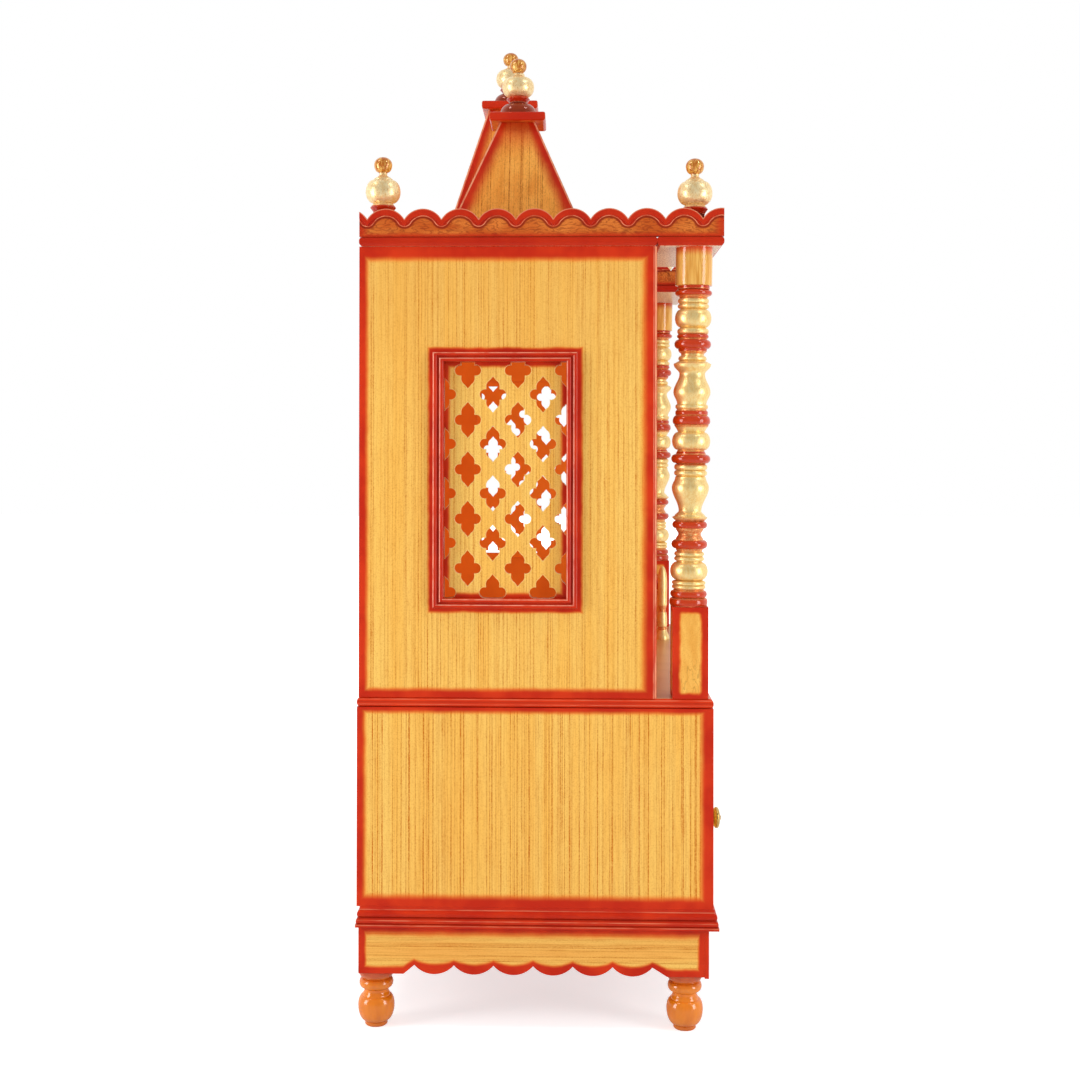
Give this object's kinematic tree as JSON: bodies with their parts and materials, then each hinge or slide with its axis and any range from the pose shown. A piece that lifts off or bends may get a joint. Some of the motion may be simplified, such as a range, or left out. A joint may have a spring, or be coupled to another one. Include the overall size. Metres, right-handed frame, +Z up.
{
  "type": "pooja mandir",
  "caption": "Home shrine cabinet on turned feet: drawers below, an open shrine with pierced side windows and turned pillars, scalloped roof boards and three pyramid towers.",
  "frame": {"origin": "on the floor, at the middle of the whole object's box", "axes": "front faces -Y, width along X, +Z up"},
  "size_m": [0.932, 0.538, 1.5205],
  "materials": {
    "veneer": "lined veneer, satin lacquer, red shaded edges",
    "red_lacquer": "gloss red lacquer",
    "gold_lacquer": "pearly gold paint with red rings",
    "amber_lacquer": "gloss amber lacquer",
    "bare_wood": "bare wood",
    "brass": "polished"
  },
  "bodies": {
    "shrine": {"feet": "amber_lacquer", "skirt_left": "veneer", "skirt_right": "veneer", "skirt_front": "veneer", "skirt_back": "veneer", "plinth": "red_lacquer", "cabinet_left": "veneer", "cabinet_right": "veneer", "cabinet_back": "veneer", "cabinet_front_rail": "veneer", "cabinet_dividers": "veneer", "drawer_runners": "bare_wood", "platform": "red_lacquer", "chamber_left": "veneer", "chamber_right": "veneer", "chamber_back": "veneer", "window_frame_left": "red_lacquer", "window_frame_right": "red_lacquer", "jali_left": "veneer", "jali_right": "veneer", "pedestals": "veneer", "pillar_left": "gold_lacquer", "pillar_right": "gold_lacquer", "newels": "gold_lacquer", "balustrade_left": "gold_lacquer", "balustrade_right": "gold_lacquer", "roof_main": "red_lacquer", "roof_wings": "red_lacquer", "cornice_left": "veneer", "cornice_right": "veneer", "cornice_back": "veneer", "cornice_front": "veneer", "cornice_wings": "veneer", "tower_left": "veneer", "tower_centre": "veneer", "tower_right": "veneer", "tower_caps": "red_lacquer", "tower_finials": "gold_lacquer", "corner_finials": "gold_lacquer"},
    "drawer_left_body": {"drawer_left": "veneer", "knob_left": "brass"},
    "drawer_middle_body": {"drawer_middle": "veneer", "knob_middle": "brass"},
    "drawer_right_body": {"drawer_right": "veneer", "knob_right": "brass"}
  },
  "joints": [
    {"name": "drawer_left_slide", "type": "slide", "parent": "shrine", "child": "drawer_left_body", "axis": [0, -1, 0], "range_m": [0, 0.3]},
    {"name": "drawer_middle_slide", "type": "slide", "parent": "shrine", "child": "drawer_middle_body", "axis": [0, -1, 0], "range_m": [0, 0.3]},
    {"name": "drawer_right_slide", "type": "slide", "parent": "shrine", "child": "drawer_right_body", "axis": [0, -1, 0], "range_m": [0, 0.3]}
  ]
}
